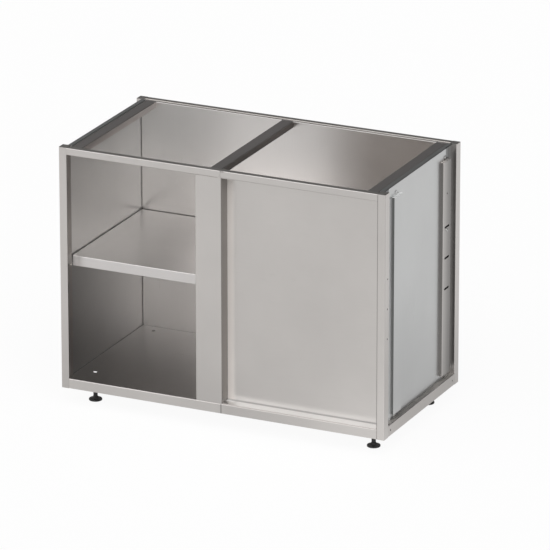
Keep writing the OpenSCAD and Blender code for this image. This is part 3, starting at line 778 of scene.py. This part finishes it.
def fastener_tree(name, head, sides, shank_sides, socket_sides, socket_floor):
    """A node tree that sets one fastener on every point of a mesh, turned as its attribute says.

    The head stands on the point, with the shank under it and a socket cut into it down to the
    share socket_floor of its height.
    """
    tree = bpy.data.node_groups.new(name, "GeometryNodeTree")
    tree.interface.new_socket("Geometry", in_out="INPUT", socket_type="NodeSocketGeometry")
    for label in ("Head Radius", "Head Height", "Shank Radius", "Shank Length", "Socket Radius"):
        tree.interface.new_socket(label, in_out="INPUT",
                                  socket_type="NodeSocketFloat").subtype = "DISTANCE"
    tree.interface.new_socket("Geometry", in_out="OUTPUT", socket_type="NodeSocketGeometry")
    add = adder(tree)
    given = add("NodeGroupInput").outputs
    radius, tall, socket = given["Head Radius"], given["Head Height"], given["Socket Radius"]
    shank, shank_length = given["Shank Radius"], given["Shank Length"]

    def times(value, factor):
        """A share of a size."""
        return combine(add, "MULTIPLY", [value, factor])

    def drum(lower, upper, depth, around, seat):
        """A cone or cylinder that stands on the height seat."""
        cone = add("GeometryNodeMeshCone", {"Vertices": around, "Radius Top": upper,
                                            "Radius Bottom": lower, "Depth": depth})
        place = add("ShaderNodeCombineXYZ", {"Z": seat}).outputs["Vector"]
        return add("GeometryNodeTransform", {"Geometry": cone.outputs["Mesh"],
                                             "Translation": place}).outputs["Geometry"]

    solids = [drum(times(radius, lower), times(radius, upper), times(tall, height), sides,
                   times(tall, seat)) for seat, height, lower, upper in head]
    solids.append(drum(shank, shank, shank_length, shank_sides, times(shank_length, -1.0)))
    whole = add("GeometryNodeMeshBoolean", operation="UNION", solver="EXACT")
    for solid in solids:
        tree.links.new(solid, whole.inputs["Mesh 2"])
    cutter = drum(socket, socket, tall, socket_sides, times(tall, socket_floor))
    shape = add("GeometryNodeMeshBoolean", {"Mesh 1": whole.outputs["Mesh"], "Mesh 2": cutter},
                operation="DIFFERENCE", solver="EXACT").outputs["Mesh"]
    turn = add("GeometryNodeInputNamedAttribute", {"Name": "turn"}, data_type="FLOAT_VECTOR")
    put = add("GeometryNodeInstanceOnPoints", {
        "Points": given["Geometry"], "Instance": shape, "Rotation": turn.outputs["Attribute"]})
    real = add("GeometryNodeRealizeInstances", {"Geometry": put.outputs["Instances"]})
    add("NodeGroupOutput", {"Geometry": real.outputs["Geometry"]})
    return tree


def islands(node):
    """Lowest and highest corners of each separate solid in a CAD node."""
    bm = bmesh.new()
    bm.from_mesh(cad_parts[node].data)
    bmesh.ops.remove_doubles(bm, verts=bm.verts, dist=MERGE)
    boxes, seen = [], set()
    for first in bm.verts:
        if first in seen:
            continue
        group, todo = [], [first]
        seen.add(first)
        while todo:
            vert = todo.pop()
            group.append(vert.co.copy())
            for edge in vert.link_edges:
                other = edge.other_vert(vert)
                if other not in seen:
                    seen.add(other)
                    todo.append(other)
        boxes.append((Vector(min(p[i] for p in group) for i in range(3)),
                      Vector(max(p[i] for p in group) for i in range(3))))
    bm.free()
    return boxes


class OBJECT_OT_cabinet_screws(bpy.types.Operator):
    """Set the screws, nuts and rivets of the runners and hanger rails"""

    bl_idname = "object.cabinet_screws"
    bl_label = "Screws, Nuts and Rivets"

    def execute(self, context):
        zinc = bright_zinc("fastener_zinc", finish().fastener_colour)
        screw = fastener_tree("button_screws", BUTTON_HEAD, sides=40, shank_sides=32,
                              socket_sides=6, socket_floor=0.35)
        rivet = fastener_tree("blind_rivets", RIVET_HEAD, sides=32, shank_sides=24,
                              socket_sides=16, socket_floor=0.55)
        screw_sizes = (3 * MM, 3 * MM, sizes().socket_radius)
        rivet_sizes = (1.2 * MM, 2 * MM, 1.0 * MM)
        self.row("runner_button_screws", "runner_screws", screw, screw_sizes, True, zinc)
        self.row("hanger_lock_screws", "lock_screws", screw, screw_sizes, False, zinc)
        self.row("hanger_rivets", "rail_rivets", rivet, rivet_sizes, False, zinc)
        self.nuts(zinc)
        return {"FINISHED"}

    def row(self, name, node, tree, fastener_sizes, inwards, material):
        """One mesh with a fastener in each solid of a node, its head inwards or outwards.

        The sizes are the head's height, the shank's radius and the socket's radius.
        """
        tall, shank, socket = fastener_sizes
        solids = islands(node)
        places, headings = [], []
        for low, high in solids:
            heading = 1 if (low.x < 0) == inwards else -1
            seat = high.x - tall if heading > 0 else low.x + tall
            places.append((seat, *middle(low, high)[1:]))
            headings.append(heading)
        low, high = solids[0]
        values = {"Head Radius": (high.y - low.y) / 2, "Head Height": tall, "Shank Radius": shank,
                  "Shank Length": high.x - low.x - tall, "Socket Radius": socket}
        points = bpy.data.meshes.new(name + "_points")
        points.from_pydata(places, [], [])
        turn = points.attributes.new("turn", "FLOAT_VECTOR", "POINT")
        for index, heading in enumerate(headings):
            turn.data[index].vector = (0, heading * math.pi / 2, 0)
        holder = bpy.data.objects.new(name + "_points", points)
        bpy.context.scene.collection.objects.link(holder)
        modifier = holder.modifiers.new("Fasteners", "NODES")
        modifier.node_group = tree
        for item in tree.interface.items_tree:
            if item.name in values:
                modifier[item.identifier] = values[item.name]
        holder.update_tag()
        graph = bpy.context.evaluated_depsgraph_get()
        mesh = bpy.data.meshes.new_from_object(holder.evaluated_get(graph))
        bpy.data.objects.remove(holder)
        if not mesh.polygons:
            raise RuntimeError(name + " came out empty")
        mesh.name = name
        mesh.shade_smooth()
        mesh.set_sharp_from_angle(angle=math.radians(28))
        if "turn" in mesh.attributes:
            mesh.attributes.remove(mesh.attributes["turn"])
        add_piece(name, mesh, material, "carcass", node)

    def nuts(self, material):
        """Hexagon nuts with chamfered corners on the runner screws."""
        bore, cut, cut_tall, turns = 3 * MM, 0.6 * MM, 0.5 * MM, full_turn(48)
        bm = bmesh.new()
        for low, high in islands("runner_nuts"):
            centre, half = middle(low, high), (high.x - low.x) / 2
            corner = max(high.y - low.y, high.z - low.z) / 2
            rings = [(x, [hexagon_reach(turn, corner, back) for turn in turns]) for x, back in (
                (-half, cut), (-half + cut_tall, 0), (half - cut_tall, 0), (half, cut))]
            rings += [(x, [bore] * len(turns)) for x in (half, -half)]
            loops = [[bm.verts.new((centre[0] + x, centre[1] + radius * math.sin(turn),
                                    centre[2] + radius * math.cos(turn)))
                      for radius, turn in zip(radii, turns)] for x, radii in rings]
            bridge(bm, loops + loops[:1])
        add_piece("runner_hex_nuts", mesh_from(bm, "runner_hex_nuts"), material, "carcass",
                  "runner_nuts")


class OBJECT_OT_cabinet_stage(bpy.types.Operator):
    """Set the camera, the round floor with its backdrop and the soft boxes round it"""

    bl_idname = "object.cabinet_stage"
    bl_label = "Studio"
    # bend of the backdrop, and the pool of light painted into the floor's glow: place, inner and outer
    # reach
    BACKDROP_BEND = 3.0
    POOL = (0.75, -0.62, 0)
    POOL_REACH = (0.1, 0.9)
    # reach of the painted shade round the cabinet in the floor's glow
    NEAR_RIM = 1.2
    FLOOR_GREY = (0.86, 0.86, 0.86, 1)
    WHITE = (1, 1, 1, 1)

    def execute(self, context):
        self.camera(context)
        self.floor()
        self.surroundings(context)
        context.scene.view_settings.view_transform = "Standard"
        return {"FINISHED"}

    def camera(self, context):
        """Camera of the photograph."""
        values = stage()
        data = bpy.data.cameras.new("camera")
        data.sensor_width, data.lens = 36, values.lens
        data.clip_start, data.clip_end = 0.1, 200
        camera = bpy.data.objects.new("camera", data)
        context.scene.collection.objects.link(camera)
        yaw, pitch = values.camera_yaw, values.camera_pitch
        ahead = Vector((-math.sin(yaw) * math.cos(pitch), math.cos(yaw) * math.cos(pitch),
                        -math.sin(pitch)))
        turn = ahead.to_track_quat("-Z", "Y").to_matrix()
        roll = Matrix.Rotation(values.camera_roll, 3, "Z")
        camera.matrix_world = Matrix.Translation(values.camera_at) @ (turn @ roll).to_4x4()
        context.scene.camera = camera

    def floor(self):
        """Round floor that rises into a backdrop."""
        values = stage()
        radius, bend = values.floor_radius, self.BACKDROP_BEND
        profile = [(0, 0)] + arc((radius - bend, bend), bend, -90, 0, 9)
        profile += [(radius, max(values.rim_height, bend))]
        bm = bmesh.new()
        lathe(bm, profile, (0, 0, 0), 96)
        mesh = mesh_from(bm, "studio_floor")
        for polygon in mesh.polygons:
            if polygon.normal.z < 0:
                polygon.flip()
        mesh.materials.append(self.floor_material())
        floor = bpy.data.objects.new("studio_floor", mesh)
        bpy.context.scene.collection.objects.link(floor)

    def floor_material(self):
        """White to the camera, a glow in reflections with a painted pool of light and painted shade
        round the cabinet, and a share of grey that takes the shadow.
        """
        values = stage()
        material, shader, add, links = new_material("studio_floor")
        shader.inputs["Base Color"].default_value = self.FLOOR_GREY
        shader.inputs["Roughness"].default_value = 0.9
        path = add("ShaderNodeLightPath").outputs
        camera = path["Is Camera Ray"]
        seen = combine(add, "MAXIMUM", [camera, path["Is Glossy Ray"], path["Is Transmission Ray"]])
        place = add("ShaderNodeTexCoord").outputs["Object"]
        reach = add("ShaderNodeVectorMath", {0: place, 1: self.POOL}, operation="DISTANCE")
        inner, outer = self.POOL_REACH
        pool = add("ShaderNodeMapRange", {
            "Value": reach.outputs["Value"], "From Min": outer, "From Max": inner,
            "To Max": values.painted_pool_glow}, interpolation_type="SMOOTHSTEP").outputs[0]
        low, high = CAD_BOX
        near = toned(add, place, zone((low[0], high[0]), (low[1], high[1])),
                     values.floor_glow * values.painted_near_shade, values.floor_glow, self.NEAR_RIM)
        glow = combine(add, "ADD", [pool, near])
        strength = add("ShaderNodeMix", {"Factor": camera, "A": glow, "B": 1.0}).outputs["Result"]
        white = add("ShaderNodeEmission", {"Color": self.WHITE, "Strength": strength})
        mix = add("ShaderNodeMixShader", {
            "Fac": combine(add, "MULTIPLY", [seen, values.floor_white]),
            1: shader.outputs["BSDF"], 2: white.outputs["Emission"]})
        output = next(n for n in material.node_tree.nodes if n.type == "OUTPUT_MATERIAL")
        links.new(mix.outputs["Shader"], output.inputs["Surface"])
        return material

    def surroundings(self, context):
        """Soft boxes all round, each a smooth spot on the dark surroundings."""
        values = stage()
        world = bpy.data.worlds.new("studio_surroundings")
        world.use_nodes = True
        context.scene.world = world
        add = adder(world.node_tree)
        place = add("ShaderNodeTexCoord").outputs["Generated"]
        ahead = add("ShaderNodeVectorMath", {0: place}, operation="NORMALIZE").outputs["Vector"]
        lights = []
        for name, heading, height in SOFT_BOXES:
            heading, height = math.radians(heading), math.radians(height)
            towards = (math.sin(heading) * math.cos(height), -math.cos(heading) * math.cos(height),
                       math.sin(height))
            near = add("ShaderNodeVectorMath", {0: ahead, 1: towards}, operation="DOT_PRODUCT")
            spot = add("ShaderNodeMapRange", {
                "Value": near.outputs["Value"], "From Min": math.cos(values.box_spread),
                "From Max": 1.0, "To Max": getattr(values, name)}, interpolation_type="SMOOTHSTEP")
            lights.append(spot.outputs["Result"])
        ground = world.node_tree.nodes["Background"]
        ground.inputs["Color"].default_value = self.WHITE
        world.node_tree.links.new(combine(add, "ADD", lights), ground.inputs["Strength"])


STEPS = (OBJECT_OT_cabinet_sheets, OBJECT_OT_cabinet_blank_panel, OBJECT_OT_cabinet_feet,
         OBJECT_OT_cabinet_screws, OBJECT_OT_cabinet_stage)


class VIEW3D_PT_cabinet(bpy.types.Panel):
    """Sizes, colours and steps of the cabinet"""

    bl_label = "Corner Base Cabinet"
    bl_space_type = "VIEW_3D"
    bl_region_type = "UI"
    bl_category = "Cabinet"

    def draw(self, context):
        for group in (finish(), sizes(), stage()):
            box = self.layout.box()
            for name in group.__annotations__:
                box.prop(group, name)
        for step in STEPS:
            self.layout.operator(step.bl_idname)


GROUPS = {"cabinet_finish": CabinetFinish, "cabinet_sizes": CabinetSizes,
          "cabinet_stage": CabinetStage}


def register():
    """Registers the classes and puts the property groups on the scene."""
    for group in GROUPS.values():
        bpy.utils.register_class(group)
    for step in STEPS:
        bpy.utils.register_class(step)
    bpy.utils.register_class(VIEW3D_PT_cabinet)
    for name, group in GROUPS.items():
        setattr(bpy.types.Scene, name, PointerProperty(type=group))


def unregister():
    """Takes the property groups and the classes away again."""
    for name in GROUPS:
        delattr(bpy.types.Scene, name)
    bpy.utils.unregister_class(VIEW3D_PT_cabinet)
    for step in reversed(STEPS):
        bpy.utils.unregister_class(step)
    for group in reversed(GROUPS.values()):
        bpy.utils.unregister_class(group)


def main():
    """Builds every piece and the studio in order."""
    register()
    bpy.ops.object.cabinet_sheets()
    bpy.ops.object.cabinet_blank_panel()
    bpy.ops.object.cabinet_feet()
    bpy.ops.object.cabinet_screws()
    bpy.ops.object.cabinet_stage()


if __name__ == "__main__":
    main()
